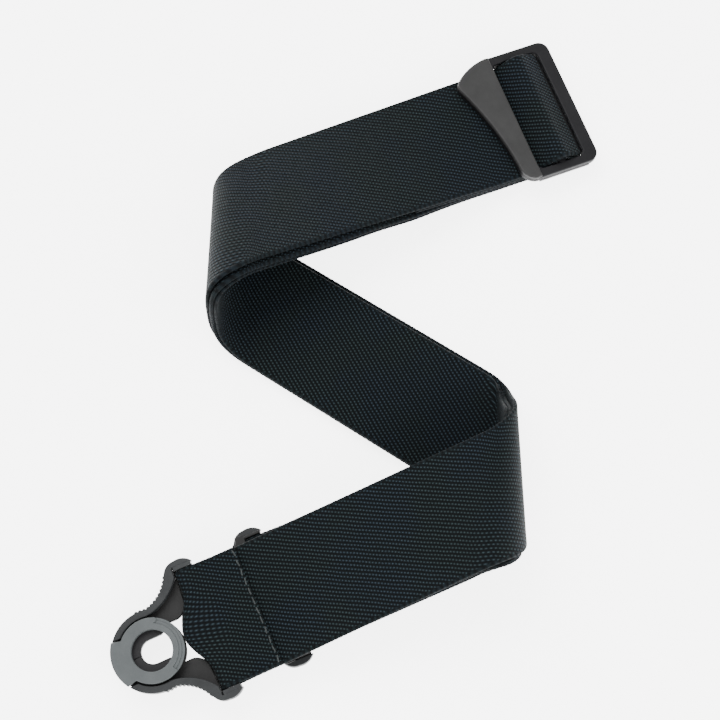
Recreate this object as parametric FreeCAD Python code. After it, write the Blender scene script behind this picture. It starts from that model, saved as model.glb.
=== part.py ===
import FreeCAD, Part
import math
import os

# Guitar strap: 50 mm webbing folded in half at its slider and wound in a flat Z, with a
# quick-release button lock at each end. Millimetres, +Z up, the table is z = 0.
# The rulings of both folds run nearly along Y; the strap crosses them at STRAP_ANGLE.

os.makedirs("parts", exist_ok=True)
V = FreeCAD.Vector

# ---- webbing ----
WEB_WIDTH = 50.0
WEB_THICK = 1.7
LAYER = WEB_THICK + 0.06                 # from one layer's middle to the next
STRAP_ANGLE = 27.5                       # plan angle between the strap and X
HALF_RULING = WEB_WIDTH / 2 / math.cos(math.radians(STRAP_ANGLE))
BEND_STEPS = 8                           # ruled facets round each corner of a fold
LEG_STEPS = 6                            # a leg turns slightly, so it is ruled in spans too
LOOP_STEPS = 10                          # ruled facets round each small loop

# ---- the two folds, seen along Y: a rounded U of a given depth in x and half height ----
CENTRING = V(-2.56, 0.06, 0)              # puts the origin under the middle of the whole part
LEFT = {"x": -49.4, "y": 53.9, "drop": 29.2, "depth": 14.6, "half": 17.0, "side": -1}
RIGHT = {"x": 56.2, "y": -31.2, "drop": 32.0, "depth": 10.1, "half": 18.0, "side": 1}
LEFT_FLARE = -0.0120                     # the left fold opens towards -Y, share per mm
RIGHT_TAPER = -0.0125                    # the right fold's depth falls with y, share per mm
EASE = {-1: 0.88, 1: 1.2}                # power by which the strap's drop grows along a fold
LEAN = {-1: -0.06, 1: 0.0}               # how far each fold's rulings lean off Y, in x per mm
LEG_TILT = (14.0, 11.0)                  # slope of the top and bottom legs at their folds

# ---- slider (tri-glide), u along the strap, p across it, w off its face ----
SLIDER_X = 67.5
SLIDER_Y = 112.8
SLIDER_ANGLE = 26.2
SLIDER_PITCH = -6.0
SLIDER_Z = 9.6
BAR_R = 2.0
SLIDER_THICK = 3.5
WINDOW_U = (-10.6, 10.2)
WINDOW_P = 25.6
RAIL_P = 29.4
NARROW_BAR_U = 16.0
WIDE_BAR_U = (-28.1, -18.6)              # outer edge at its broad end and at its slim end
WIDE_BAR_TOP = 2.9                       # it stands above the rest of the frame
RAIL_BOTTOM = -3.2                       # the side rails hang below it
LIP_U = 9.7                              # a thin lip inside the narrow bar
ENTRY_U = -30.0                          # where the webbing meets the slider's own plane
CLEAR = 0.15                             # webbing to bar
PARTING = 0.3                            # between two runs of the one webbing, end to end
PARTING_ANGLE = 4.0                      # the same round lock B's bar
SLACK = 0.5                             # more room where two layers turn apart

# ---- button lock, a towards the strap, l across it, w off its back face ----
LOCK_THICK = 7.6
LOCK_PITCH = 5.0
LOCK_X = -71.2
LOCK_Y = -127.3
LOCK_STEP = 29.6                         # second lock sits this far back along the strap
LOCK_SHIFT = 2.5                         # and this far across it
NOSE_R = 16.5
BACK_R = 15.9
BACK_STRAP_R = 12.8                      # the back is smaller on the strap side
HOLE_R = 8.2
RING_R = 12.9
RING_WALL_R = 11.8
GRIP_R = (13.6, 16.4)
JAW_R = 4.85
JAW_OUTER_R = 8.9
JAW_REACH = 5.2
JAW_PIVOT = (-11.0, 5.5)
JAW_EAR_R = 2.2
JAW_PIN_R = 1.0
FINGER = (-12.8, 7.8)                    # where the lever pushes the jaw
LEVER_PIVOT = (17.0, 24.5)
LEVER_PIN_R = 1.1
PIN_FOOT = 0.4
PIN_TOP = 5.4                            # the lever covers its pin
RUNNING_FIT = 0.05
FIT = 0.02                               # round pins and screws that do not turn
CROSS_BAR = (22.5, 3.3)
CROSS_BAR_R = 1.7
CROSS_BAR_HALF = 26.5
BACK_W = (0.0, 2.0)
JAW_W = (2.2, 4.6)
LEVER_W = (2.2, 6.2)
RING_W = (4.9, LOCK_THICK)
RIM_W = 6.4
CHEEK_A = (18.9, 26.6)
CHEEK_L = (25.3, 26.6)
CHEEK_TOP = 5.2
NOSE_WALL_R = 14.6
TAB_ENDS = (146, 137.5)                    # degrees where the tab ends, at the nose and at the ring
TAB_FOOT = 30                            # half angle of the tab's foot, clear of the levers
LEVER_ENDS = (144.6, 136)                # degrees where the lever ends, outside and inside
BACK_NOSE = 80                           # the wide part of the back starts at this angle
BOSSES = [(-12.6, 0.0), (9.0, 6.5), (9.0, -6.5)]
BOSS_R = 1.7
SCREW_R = 0.8
SCREW_TOP = 5.2
SCREW_HEAD_R = 1.5
SCREW_HEAD_W = (0.1, 1.0)
LOCK_FLAP = 22.0                         # sewn flap of webbing, from the cross bar

# ---- stitches ----
DASHES = 12
DASH_PITCH = 4.1
DASH_LENGTH = 2.6
DASH_WIDTH = 0.7
THREAD_R = 0.35


def save(name, shapes):
    """Writes one node, a solid or a group of separate solids."""
    shape = shapes[0] if len(shapes) == 1 else Part.makeCompound(shapes)
    shape = shape.copy()
    shape.translate(CENTRING)
    shape.exportStep("parts/%s.step" % name)
    return shape


# ---------------------------------------------------------------- webbing

def fold_ruling(fold, angle, upper, share):
    """The lower and upper ends of one ruling of the top strap layer, on a fold.

    The angle is measured in the XZ plane on the U's upper or lower corner; share is how far
    along the fold the ruling lies.
    """
    centre = fold["y"] - fold["drop"] * share ** EASE[fold["side"]]
    middle = fold["y"] - fold["drop"] / 2
    ends = []
    for side in (-1, 1):
        y = centre + side * HALF_RULING
        depth, half = fold["depth"], fold["half"]
        if fold is LEFT:
            half *= 1 + LEFT_FLARE * (y - middle)
        else:
            depth *= 1 + RIGHT_TAPER * (y - middle)
        corner = min(depth, half)
        corner_z = WEB_THICK / 2 + (2 * half - corner if upper else corner)
        x = fold["x"] + depth * math.cos(math.radians(angle)) + LEAN[fold["side"]] * (y - middle)
        ends.append(V(x, y, corner_z + corner * math.sin(math.radians(angle))))
    return ends


def fold_rulings(fold, start, end):
    """All rulings of a fold, from the angle where one leg ends to where the next begins."""
    flat = 180.0 if fold["side"] < 0 else 0.0
    corner = min(fold["depth"], fold["half"])
    lengths = [abs(flat - start), 2 * (fold["half"] - corner) / corner * 180 / math.pi]
    total = sum(lengths) + abs(end - flat)
    found = []
    for i in range(BEND_STEPS + 1):
        angle = start + (flat - start) * i / BEND_STEPS
        found.append(fold_ruling(fold, angle, start > -90, abs(angle - start) / total))
    for i in range(BEND_STEPS + 1):
        angle = flat + (end - flat) * i / BEND_STEPS
        share = (sum(lengths) + abs(angle - flat)) / total
        found.append(fold_ruling(fold, angle, start < 0, share))
    return found


def normals(rulings):
    """The surface normal at both ends of every ruling, on the inner side of the folds."""
    found = []
    for i, (low, high) in enumerate(rulings):
        before, after = rulings[max(i - 1, 0)], rulings[min(i + 1, len(rulings) - 1)]
        across = (high - low).normalize()
        pair = []
        for end in (0, 1):
            along = (after[end] - before[end]).normalize()
            pair.append(across.cross(along).normalize() * -1)
        found.append(pair)
    return found


def offset(rulings, depth):
    """The same rulings, moved off the surface towards the inside of the folds."""
    return [
        [end + n * depth for end, n in zip(ruling, pair)]
        for ruling, pair in zip(rulings, normals(rulings))
    ]


def ribbon(rulings):
    """A solid strip of webbing whose middle surface passes through the rulings.

    A strip that turns and flares has no flat quadrilaterals, so each is split along its
    shorter diagonal, which is the same one in every layer.
    """
    outer = offset(rulings, -WEB_THICK / 2)
    inner = offset(rulings, WEB_THICK / 2)
    rings = [[o[0], o[1], i[1], i[0]] for o, i in zip(outer, inner)]
    triangles = []
    for ring in (rings[0], rings[-1]):
        triangles += [(ring[0], ring[1], ring[2]), (ring[0], ring[2], ring[3])]
    for near, far in zip(rings, rings[1:]):
        rising = (far[1] - near[0]).Length + (far[2] - near[3]).Length
        falling = (near[1] - far[0]).Length + (near[2] - far[3]).Length
        for k, j in ((0, 1), (1, 2), (3, 2), (0, 3)):
            if (rising < falling) == ((k, j) != (1, 2)):
                triangles += [(near[k], near[j], far[j]), (near[k], far[j], far[k])]
            else:
                triangles += [(near[j], far[j], far[k]), (near[j], far[k], near[k])]
    shell = Part.makeShell([Part.Face(Part.makePolygon(list(t) + [t[0]])) for t in triangles])
    shell.sewShape()
    solid = Part.makeSolid(shell)
    solid.fix(1e-5, 1e-5, 1e-4)
    return solid if solid.Volume > 0 else solid.reversed()


class Frame:
    """A local frame: origin, forward axis, sideways axis, normal."""

    def __init__(self, origin, plan_angle, pitch, face=1):
        turn, tip = math.radians(plan_angle), math.radians(pitch)
        self.origin = origin
        self.u = V(
            math.cos(turn) * math.cos(tip), math.sin(turn) * math.cos(tip), math.sin(tip)
        )
        level = V(-math.sin(turn), math.cos(turn), 0)
        self.w = self.u.cross(level) * face
        self.p = self.w.cross(self.u)
        self.level = level

    def at(self, u, p, w):
        return self.origin + self.u * u + self.p * p + self.w * w

    def place(self, shape):
        m = FreeCAD.Matrix(
            self.u.x, self.p.x, self.w.x, self.origin.x,
            self.u.y, self.p.y, self.w.y, self.origin.y,
            self.u.z, self.p.z, self.w.z, self.origin.z,
            0, 0, 0, 1)
        moved = shape.copy()
        moved.Placement = FreeCAD.Placement(m)
        return moved

    def cross_rulings(self, path):
        """Rulings square across the strap, one for each (u, w) point of the path."""
        half = self.level * (WEB_WIDTH / 2)
        return [[self.at(u, 0, w) - half, self.at(u, 0, w) + half] for u, w in path]


def arc(centre, radius, start, end, steps=LOOP_STEPS):
    return [
        (
            centre[0] + radius * math.cos(math.radians(start + (end - start) * i / steps)),
            centre[1] + radius * math.sin(math.radians(start + (end - start) * i / steps)),
        )
        for i in range(steps + 1)
    ]


def tangent(point, radius, side):
    """Angle at which a line from the point touches a circle about the origin."""
    reach = math.hypot(*point)
    return math.degrees(math.atan2(point[1], point[0]) + side * math.acos(radius / reach))


def leg(a, b):
    """The rulings inside a straight leg, between the rulings at its two ends."""
    steps = range(1, LEG_STEPS)
    return [[p + (q - p) * (i / LEG_STEPS) for p, q in zip(a, b)] for i in steps]


left_fold = fold_rulings(LEFT, 90 - LEG_TILT[0], 270)
right_fold = fold_rulings(RIGHT, -90, 90 + LEG_TILT[1])
slider = Frame(V(SLIDER_X, SLIDER_Y, SLIDER_Z), SLIDER_ANGLE, SLIDER_PITCH)

lock_a_z = LOCK_THICK + 0.3 - (LOCK_STEP - NOSE_R) * math.sin(math.radians(LOCK_PITCH))
lock_a = Frame(V(LOCK_X, LOCK_Y, lock_a_z), STRAP_ANGLE, LOCK_PITCH)
step = V(math.cos(math.radians(STRAP_ANGLE)), math.sin(math.radians(STRAP_ANGLE)), 0)
lock_b_origin = V(LOCK_X, LOCK_Y, LOCK_THICK) + step * LOCK_STEP + lock_a.level * LOCK_SHIFT
lock_b = Frame(lock_b_origin, STRAP_ANGLE, 0, face=-1)

# levels of the layers under the slider's wide bar, top one first
level_top = -(SLIDER_THICK / 2 + 0.3 + WEB_THICK / 2)
level_flap = level_top - LAYER
level_upper = level_flap - LAYER
level_lower = level_upper - LAYER

# the strap's top layer: up through the slider from its right slot, along the Z, round lock A
fold_r = BAR_R + CLEAR + WEB_THICK / 2
over_r = fold_r + LAYER
rise = (WINDOW_U[0] + 0.6, level_top)
rise_angle = tangent(rise, over_r, -1) + 360
turn_centre = (4.6, level_lower + 2.6)
weave = arc(turn_centre, 2.6, -90, 5, 6) + [(8.55, -0.2), (8.1, 0.9)]
weave += arc((0, 0), over_r, 62, rise_angle) + [rise, (ENTRY_U, level_top)]
top_slider = slider.cross_rulings(weave)

cross = Frame(lock_a.at(CROSS_BAR[0], 0, CROSS_BAR[1]), STRAP_ANGLE, LOCK_PITCH)
loop_r = CROSS_BAR_R + CLEAR + WEB_THICK / 2
close = (12.0, LAYER / 2)
touch = tangent(close, loop_r, 1)
loop_a = [(LOCK_FLAP, -close[1]), (close[0], -close[1])]
loop_a += arc((0, 0), loop_r, 360 - touch, touch) + [close, (LOCK_FLAP, close[1])]
top_lock = cross.cross_rulings(loop_a)

top_leg = leg(top_slider[-1], left_fold[0])
middle_leg = leg(left_fold[-1], right_fold[0])
bottom_leg = leg(right_fold[-1], top_lock[0])
top_z = top_leg + left_fold + middle_leg + right_fold
strap_run = ribbon(top_slider + top_z + bottom_leg + top_lock)

# the adjusting loop, one and two layers further in, from the top leg to the second fold's end
PARALLEL = 2                             # spans of the top leg with the sewn flap between layers
around = [top_slider[-1]] + top_z + [bottom_leg[0]]


def layers_in(flap_depth, depth):
    """Rulings under the strap's top layer: deeper where the sewn flap lies between."""
    flapped, plain = offset(around, flap_depth), offset(around, depth)
    return flapped[1:PARALLEL + 1] + plain[PARALLEL + 2:-1]


# its lower layer: out of the slider's right slot and back to lock B's bar
bar_b = Frame(lock_b.at(CROSS_BAR[0], 0, CROSS_BAR[1]), STRAP_ANGLE, 0)
shut = (14.0, LAYER / 2 + SLACK / 3)
lower = slider.cross_rulings([(turn_centre[0] - PARTING, level_lower), (ENTRY_U, level_lower)])
lower += layers_in(3 * LAYER, 2 * LAYER)
loop_touch = tangent(shut, loop_r, 1)
lower_loop = arc((0, 0), loop_r, 360 - loop_touch, 180 + PARTING_ANGLE)
lower_end = bar_b.cross_rulings([(shut[0], -shut[1])] + lower_loop)

# its upper layer: from lock B's bar back to the slider, round the middle bar, to the cut flap
wrap_in = (WINDOW_U[0] + 2.6, level_upper)
wrap_out = (WINDOW_U[0] + 1.2, level_flap)
wrap_from, wrap_to = tangent(wrap_in, fold_r, 1), tangent(wrap_out, fold_r, -1) + 360
upper_loop = arc((0, 0), loop_r, loop_touch, 180 - PARTING_ANGLE)
upper_end = bar_b.cross_rulings([shut] + upper_loop)
sewn = [(ENTRY_U, level_flap), wrap_out] + arc((0, 0), fold_r, wrap_to, wrap_from)
sewn += [wrap_in, (ENTRY_U, level_upper)]
flap_end = offset(around, LAYER)[1:PARALLEL + 1]
upper = flap_end[::-1] + slider.cross_rulings(sewn) + layers_in(2 * LAYER, LAYER)
upper_leg = [upper[-1]] + leg(upper[-1], upper_end[0]) + [upper_end[0]]
loop_upper_run = ribbon(upper + upper_leg[1:-1] + upper_end)
loop_lower_run = ribbon(lower + offset(upper_leg, LAYER + SLACK)[1:-1] + lower_end)


# ---------------------------------------------------------------- solids in a local plane

def outline(start, *moves):
    """A flat face: each move is the end of a line, or the middle and end points of an arc."""
    edges, here = [], V(*start, 0)
    for move in moves:
        if isinstance(move[0], tuple):
            end = V(*move[1], 0)
            edges.append(Part.Arc(here, V(*move[0], 0), end).toShape())
        else:
            end = V(*move, 0)
            edges.append(Part.makeLine(here, end))
        here = end
    return Part.Face(Part.Wire(edges))


def slab(face, bottom, top):
    lifted = face.copy()
    lifted.translate(V(0, 0, bottom))
    return lifted.extrude(V(0, 0, top - bottom))


def post(centre, radius, bottom, top):
    return Part.makeCylinder(radius, top - bottom, V(centre[0], centre[1], bottom))


def polar(radius, angle):
    turn = math.radians(angle)
    return radius * math.cos(turn), radius * math.sin(turn)


def band(inner, outer, start, end, bottom, top):
    """A ring sector between two radii and two angles."""
    middle = (start + end) / 2
    face = outline(
        polar(outer, start), (polar(outer, middle), polar(outer, end)), polar(inner, end),
        (polar(inner, middle), polar(inner, start)), polar(outer, start),
    )
    return slab(face, bottom, top)


def mirrored(shape, side):
    """The shape as drawn on the +l side, or its mirror image on the other side."""
    return shape if side > 0 else shape.mirror(V(0, 0, 0), V(0, 1, 0))


# ---------------------------------------------------------------- slider

def slider_frame():
    """Tri-glide: a shaped wide bar, a straight narrow bar and a round middle bar."""
    corner = 4.5
    end_u = NARROW_BAR_U
    face = outline(
        (end_u, -RAIL_P + corner), (end_u, RAIL_P - corner),
        ((end_u - 0.3 * corner, RAIL_P - 0.3 * corner), (end_u - corner, RAIL_P)),
        (-9.0, RAIL_P), ((-20.2, 27.4), (-27.2, 23.0)),
        ((WIDE_BAR_U[0] - 0.4, 20.5), (WIDE_BAR_U[0], 18.0)),
        ((-21.6, -2.8), (WIDE_BAR_U[1], -23.0)), ((-16.8, -27.4), (-13.0, -RAIL_P)),
        (end_u - corner, -RAIL_P),
        ((end_u - 0.3 * corner, -RAIL_P + 0.3 * corner), (end_u, -RAIL_P + corner)),
    )
    half = SLIDER_THICK / 2
    window_length = WINDOW_U[1] - WINDOW_U[0]
    window = Part.makeBox(window_length, 2 * WINDOW_P, 20, V(WINDOW_U[0], -WINDOW_P, -10))
    window = window.makeFillet(1.5, [e for e in window.Edges if e.Length == 20])
    plate = slab(face, -half, half)
    raised = slab(face, half - 0.5, WIDE_BAR_TOP)
    beyond = Part.makeBox(60, 80, 20, V(WINDOW_U[0] - 1.0, -40, -10))
    plate = plate.fuse(raised.cut(beyond)).cut(window)
    rail_length = 2 * (end_u - corner)
    for p in (WINDOW_P, -RAIL_P):
        rail = Part.makeBox(
            rail_length, RAIL_P - WINDOW_P, -half - RAIL_BOTTOM, V(-rail_length / 2, p, RAIL_BOTTOM)
        )
        plate = plate.fuse(rail)
    lip = Part.makeBox(1.0, 2 * WINDOW_P, 0.8, V(LIP_U, -WINDOW_P, -half))
    plate = plate.fuse(lip)
    bar = Part.makeCylinder(BAR_R, 2 * WINDOW_P + 1, V(0, -WINDOW_P - 0.5, 0), V(0, 1, 0))
    return plate.fuse(bar).removeSplitter()


# ---------------------------------------------------------------- button lock

def lock_back_frame():
    """Back disc, the two webs out to the webbing and the cheeks that hold the cross bar."""
    bottom, top = BACK_W
    frame = post((0, 0), BACK_STRAP_R, bottom, top)
    frame = frame.fuse(band(HOLE_R, BACK_R, BACK_NOSE, 360 - BACK_NOSE, bottom, top))
    for side in (1, -1):
        web = outline(
            (2.0, 8.6), (12.6, 8.2), ((16.4, 9.9), (18.2, 13.4)), (18.6, 21.0), (19.0, CHEEK_L[0]),
            (CHEEK_A[1], CHEEK_L[0]), (CHEEK_A[1], CHEEK_L[1]), (16.5, CHEEK_L[1]),
            (12.5, 20.5), (6.5, 15.0), (0.0, 13.0), (2.0, 8.6),
        )
        cheek = Part.makeBox(
            CHEEK_A[1] - CHEEK_A[0], CHEEK_L[1] - CHEEK_L[0], CHEEK_TOP,
            V(CHEEK_A[0], CHEEK_L[0], bottom),
        )
        frame = frame.fuse([mirrored(slab(web, bottom, top), side), mirrored(cheek, side)])
    frame = frame.fuse(band(NOSE_WALL_R, BACK_R - 0.2, 158, 202, bottom, JAW_W[1] + 0.1))
    holes = [post((0, 0), HOLE_R + 0.1, bottom - 1, 9)]
    bar_hole = Part.makeCylinder(
        CROSS_BAR_R + FIT, 2 * CROSS_BAR_HALF + 1,
        V(CROSS_BAR[0], -CROSS_BAR_HALF - 0.5, CROSS_BAR[1]), V(0, 1, 0),
    )
    holes.append(bar_hole)
    for a, l in BOSSES:
        holes.append(post((a, l), SCREW_R + FIT, bottom - 1, 9))
        holes.append(post((a, l), SCREW_HEAD_R + FIT, bottom - 1, SCREW_HEAD_W[1]))
    for side in (1, -1):
        holes.append(post((LEVER_PIVOT[0], side * LEVER_PIVOT[1]), LEVER_PIN_R + FIT, PIN_FOOT, 9))
        holes.append(post((JAW_PIVOT[0], side * JAW_PIVOT[1]), JAW_PIN_R + FIT, PIN_FOOT, 9))
    return frame.cut(holes).removeSplitter()


def lock_cover():
    """Grey ring on top, stepped at its rim, with the tab at the nose and three screw bosses."""
    bottom, top = RING_W
    ring = post((0, 0), RING_WALL_R, bottom, top).fuse(post((0, 0), RING_R, RIM_W, top))
    at_nose, at_ring = TAB_ENDS
    tab = outline(
        polar(NOSE_R, at_nose), (polar(NOSE_R, 180), polar(NOSE_R, -at_nose)),
        polar(RING_WALL_R, -at_ring), (polar(RING_WALL_R, 180), polar(RING_WALL_R, at_ring)),
        polar(NOSE_R, at_nose),
    )
    ring = ring.fuse(slab(tab, RIM_W, top))
    ring = ring.fuse(band(HOLE_R + 0.5, NOSE_R, 180 - TAB_FOOT, 180 + TAB_FOOT, bottom, RIM_W))
    ring = ring.fuse([post(boss, BOSS_R, BACK_W[1], bottom + 0.3) for boss in BOSSES])
    ring = ring.cut(post((0, 0), HOLE_R, bottom - 1, top + 1))
    return ring.cut([post(boss, SCREW_R + FIT, BACK_W[1] - 1, SCREW_TOP + 0.3) for boss in BOSSES])


def lock_lever(side):
    """Grip lever: a curved band round the ring, a ribbed waist and a horn beside the webbing."""
    inner, outer = GRIP_R
    end, inner_end = LEVER_ENDS
    face = outline(
        polar(outer, end), (polar(outer, 110), polar(outer, 78)), ((9.2, 18.5), (15.0, 25.6)),
        ((16.8, 28.1), (20.5, 29.3)), ((25.2, 28.6), (27.2, 26.9)), (18.6, 26.9), (18.6, 23.2),
        ((11.0, 16.2), polar(inner, 80)), (polar(inner, 108), polar(inner, inner_end)),
        polar(outer, end),
    )
    lever = slab(face, *LEVER_W)
    lever = lever.cut(post(LEVER_PIVOT, LEVER_PIN_R + RUNNING_FIT, 0, PIN_TOP + 0.2))
    flange_low = CHEEK_TOP + 0.2
    flange = Part.makeBox(
        CHEEK_A[1] - 19.2, 27.0 - CHEEK_L[0], LEVER_W[1] - flange_low, V(19.2, CHEEK_L[0], flange_low)
    )
    lever = lever.fuse(flange).removeSplitter()
    return mirrored(lever, side)


def lock_jaw(side):
    """Half of the U that closes round the button's neck, with its pivot ear and finger."""
    bottom, top = JAW_W
    r, outer = JAW_R, JAW_OUTER_R
    start, tip = 178, math.degrees(math.asin(7.2 / outer))
    face = outline(
        polar(r, start), (polar(r, 135), (0, r)), (JAW_REACH, r),
        ((JAW_REACH + 1.1, 6.2), polar(outer, tip)),
        (polar(outer, (tip + start) / 2), polar(outer, start + 1)), polar(r, start),
    )
    arm = Part.makeBox(6.5, 3.4, top - bottom, V(6.5, -1.7, bottom))
    arm.rotate(V(0, 0, 0), V(0, 0, 1), math.degrees(math.atan2(JAW_PIVOT[1], JAW_PIVOT[0])))
    ear = post(JAW_PIVOT, JAW_EAR_R, bottom, top)
    finger_neck = Part.makeBox(2.4, 1.8, top - bottom, V(0, -0.9, bottom))
    toward = math.degrees(math.atan2(FINGER[1] - JAW_PIVOT[1], FINGER[0] - JAW_PIVOT[0]))
    finger_neck.rotate(V(0, 0, 0), V(0, 0, 1), toward)
    finger_neck.translate(V(JAW_PIVOT[0], JAW_PIVOT[1], 0))
    finger = post(FINGER, 0.9, bottom, top)
    jaw = slab(face, bottom, top).fuse([arm, ear, finger_neck, finger])
    jaw = jaw.cut(post(JAW_PIVOT, JAW_PIN_R + RUNNING_FIT, 0, 9))
    jaw = jaw.cut(post((0, 0), r, 0, 9))
    return mirrored(jaw.removeSplitter(), side)


def both_sides(make):
    return [mirrored(make, side) for side in (1, -1)]


def lock_lever_pins():
    return both_sides(post(LEVER_PIVOT, LEVER_PIN_R, PIN_FOOT, PIN_TOP))


def lock_jaw_pins():
    return both_sides(post(JAW_PIVOT, JAW_PIN_R, PIN_FOOT, JAW_W[1] + 0.2))


def lock_lever_springs():
    return both_sides(band(RING_WALL_R + 0.1, RING_WALL_R + 0.5, 90, 130, 4.8, 6.2))


def lock_cover_screws():
    screw_head = SCREW_HEAD_W
    return [
        post(boss, SCREW_R, screw_head[1], SCREW_TOP).fuse(post(boss, SCREW_HEAD_R, *screw_head))
        for boss in BOSSES
    ]


def lock_cross_bar():
    return Part.makeCylinder(
        CROSS_BAR_R, 2 * CROSS_BAR_HALF, V(CROSS_BAR[0], -CROSS_BAR_HALF, CROSS_BAR[1]), V(0, 1, 0)
    )


# ---------------------------------------------------------------- stitches

def dashes():
    """The row of thread dashes across lock A's sewn flap, sunk into the webbing."""
    top = close[1] + WEB_THICK / 2
    row = []
    for i in range(DASHES):
        middle = (i - (DASHES - 1) / 2) * DASH_PITCH
        dash = Part.makeBox(
            DASH_WIDTH, DASH_LENGTH, 0.5, V(LOCK_FLAP - 1.2, middle - DASH_LENGTH / 2, top - 0.3)
        )
        row.append(cross.place(dash))
    return row


def hidden_stitches():
    """Thread columns through the flap sewn round the slider's bar and the layer under it."""
    low, high = level_upper - WEB_THICK / 2 + 0.2, level_flap + WEB_THICK / 2
    row = []
    for i in range(DASHES):
        middle = (i - (DASHES - 1) / 2) * DASH_PITCH
        row.append(slider.place(post((ENTRY_U + 2.0, middle), THREAD_R, low, high)))
    return row


# ---------------------------------------------------------------- nodes

save("strap_run", [strap_run])
save("loop_upper_run", [loop_upper_run])
save("loop_lower_run", [loop_lower_run])
save("lock_a_stitches", dashes())
save("slider_stitches", hidden_stitches())
save("slider_frame", [slider.place(slider_frame())])

for name, frame in (("lock_a", lock_a), ("lock_b", lock_b)):
    pieces = {
        "back_frame": [lock_back_frame()],
        "cover": [lock_cover()],
        "cross_bar": [lock_cross_bar()],
        "lever_left": [lock_lever(1)],
        "lever_right": [lock_lever(-1)],
        "jaw_left": [lock_jaw(1)],
        "jaw_right": [lock_jaw(-1)],
        "lever_pins": lock_lever_pins(),
        "jaw_pins": lock_jaw_pins(),
        "lever_springs": lock_lever_springs(),
        "cover_screws": lock_cover_screws(),
    }
    for piece, shapes in pieces.items():
        save("%s_%s" % (name, piece), [frame.place(shape) for shape in shapes])
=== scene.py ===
import bpy
import math
import numpy as np
from mathutils import Matrix, Vector


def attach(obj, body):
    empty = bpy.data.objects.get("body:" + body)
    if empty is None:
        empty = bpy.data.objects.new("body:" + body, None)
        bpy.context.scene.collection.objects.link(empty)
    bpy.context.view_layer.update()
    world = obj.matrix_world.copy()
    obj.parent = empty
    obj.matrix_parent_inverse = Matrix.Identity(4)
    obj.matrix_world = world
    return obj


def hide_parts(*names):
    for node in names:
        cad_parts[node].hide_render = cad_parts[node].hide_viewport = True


# A 50 mm webbing guitar strap wound in a flat Z. Lengths in the helpers are millimetres, as in the
# part's design, and MM turns them into the scene's metres.
MM = 0.001
CENTRING = np.array([-2.56, 0.06, 0.0])

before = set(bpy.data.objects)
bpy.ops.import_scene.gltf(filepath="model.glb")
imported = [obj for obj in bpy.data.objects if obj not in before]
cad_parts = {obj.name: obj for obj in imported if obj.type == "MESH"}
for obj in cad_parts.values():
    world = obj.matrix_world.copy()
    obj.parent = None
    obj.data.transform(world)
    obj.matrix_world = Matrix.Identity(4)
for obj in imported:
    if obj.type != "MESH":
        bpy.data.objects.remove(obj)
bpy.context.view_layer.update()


# ---------------------------------------------------------------- camera

CAMERA_LENS = 96.8
CAMERA_OFFSET = (16.8, -233.3, 765.0)    # from the middle of the strap


def make_camera():
    """Almost straight down, leaning 17 degrees, from 0.8 m."""
    data = bpy.data.cameras.new("camera")
    data.sensor_width = 36.0
    data.lens = CAMERA_LENS
    camera = bpy.data.objects.new("camera", data)
    bpy.context.scene.collection.objects.link(camera)
    target = Vector(CENTRING) * MM
    camera.location = target + Vector(CAMERA_OFFSET) * MM
    camera.rotation_euler = (target - camera.location).to_track_quat("-Z", "Y").to_euler()
    bpy.context.scene.camera = camera


make_camera()


# ---------------------------------------------------------------- node graphs

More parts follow.
